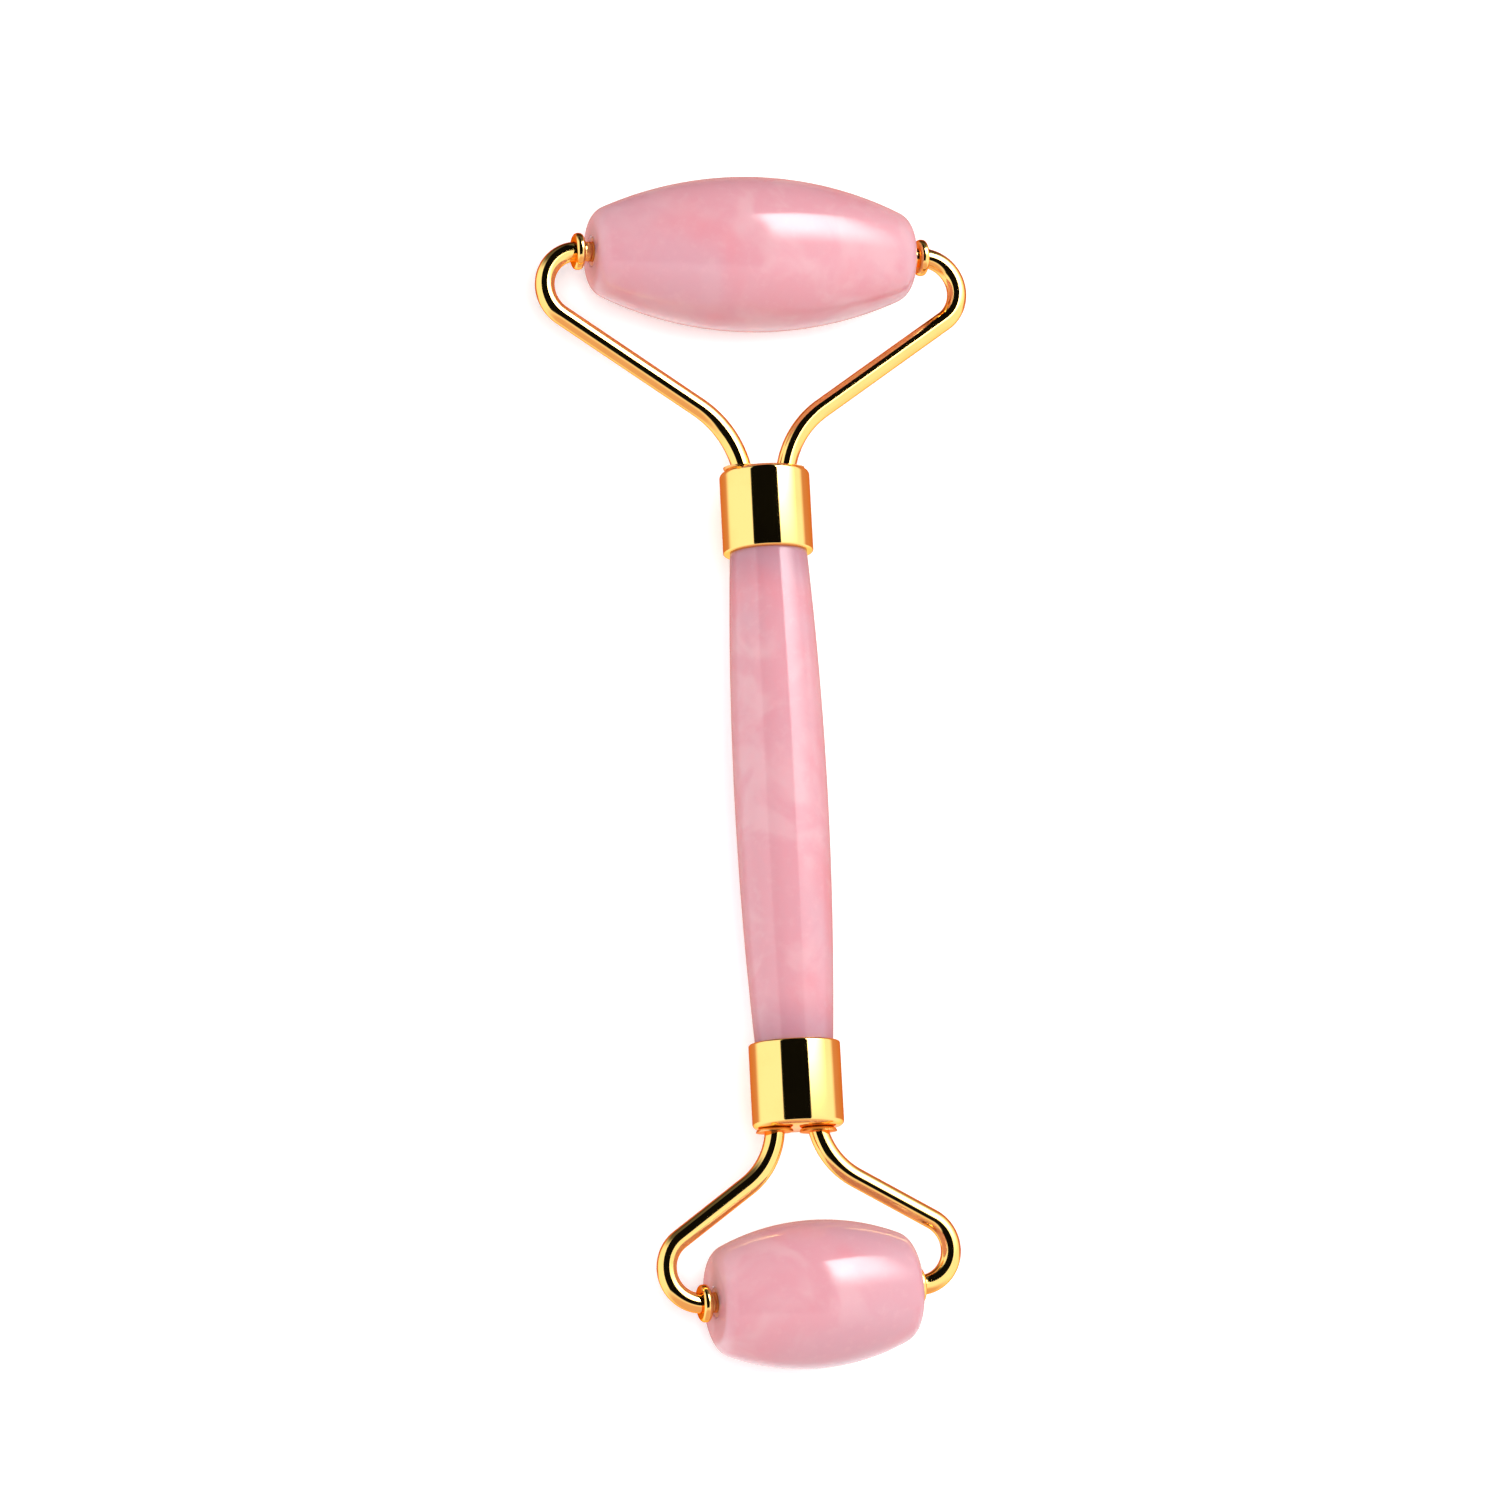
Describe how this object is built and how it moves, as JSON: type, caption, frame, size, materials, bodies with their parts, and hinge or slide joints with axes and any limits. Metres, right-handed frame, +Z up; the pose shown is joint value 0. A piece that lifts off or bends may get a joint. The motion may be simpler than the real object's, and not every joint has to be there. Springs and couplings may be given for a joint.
{
  "type": "face roller",
  "caption": "Hand massage roller: a barrel-shaped rose quartz handle with a wire fork at each end, one holding a long barrel stone roller, the other a short one, both free to spin.",
  "frame": {"origin": "on the surface that the part lies on, below the middle of its overall length and width", "axes": "+Y along the handle towards the larger roller, X along the rollers' axes, +Z up from the surface it lies on"},
  "size_m": [0.055, 0.1458, 0.019],
  "materials": {
    "rose_quartz": "polished cloudy rose quartz",
    "plated_ferrule": "gold-plated, polished",
    "plated_rod": "gold-plated, polished",
    "plated_collar": "gold-plated, polished",
    "plated_braze": "gold-plated over braze",
    "bush_nylon": "natural nylon",
    "cured_adhesive": "cured clear epoxy"
  },
  "bodies": {
    "handle": {"handle_bar": "rose_quartz", "large_ferrule": "plated_ferrule", "small_ferrule": "plated_ferrule", "large_adhesive": "cured_adhesive", "small_adhesive": "cured_adhesive", "large_braze": "plated_braze", "small_braze": "plated_braze", "large_left_rod": "plated_rod", "large_right_rod": "plated_rod", "small_left_rod": "plated_rod", "small_right_rod": "plated_rod", "large_left_collar": "plated_collar", "large_right_collar": "plated_collar", "small_left_collar": "plated_collar", "small_right_collar": "plated_collar"},
    "large_roller": {"large_roller_stone": "rose_quartz", "large_left_bush": "bush_nylon", "large_right_bush": "bush_nylon"},
    "small_roller": {"small_roller_stone": "rose_quartz", "small_left_bush": "bush_nylon", "small_right_bush": "bush_nylon"}
  },
  "joints": [
    {"name": "large_roller_spin", "type": "hinge", "parent": "handle", "child": "large_roller", "pos_m": [-0.00024, 0.06342, 0.0095], "axis": [1, 0.0087, 0], "continuous": true},
    {"name": "small_roller_spin", "type": "hinge", "parent": "handle", "child": "small_roller", "pos_m": [0.00078, -0.0641, 0.0095], "axis": [0.9985, 0.0541, 0], "continuous": true}
  ]
}
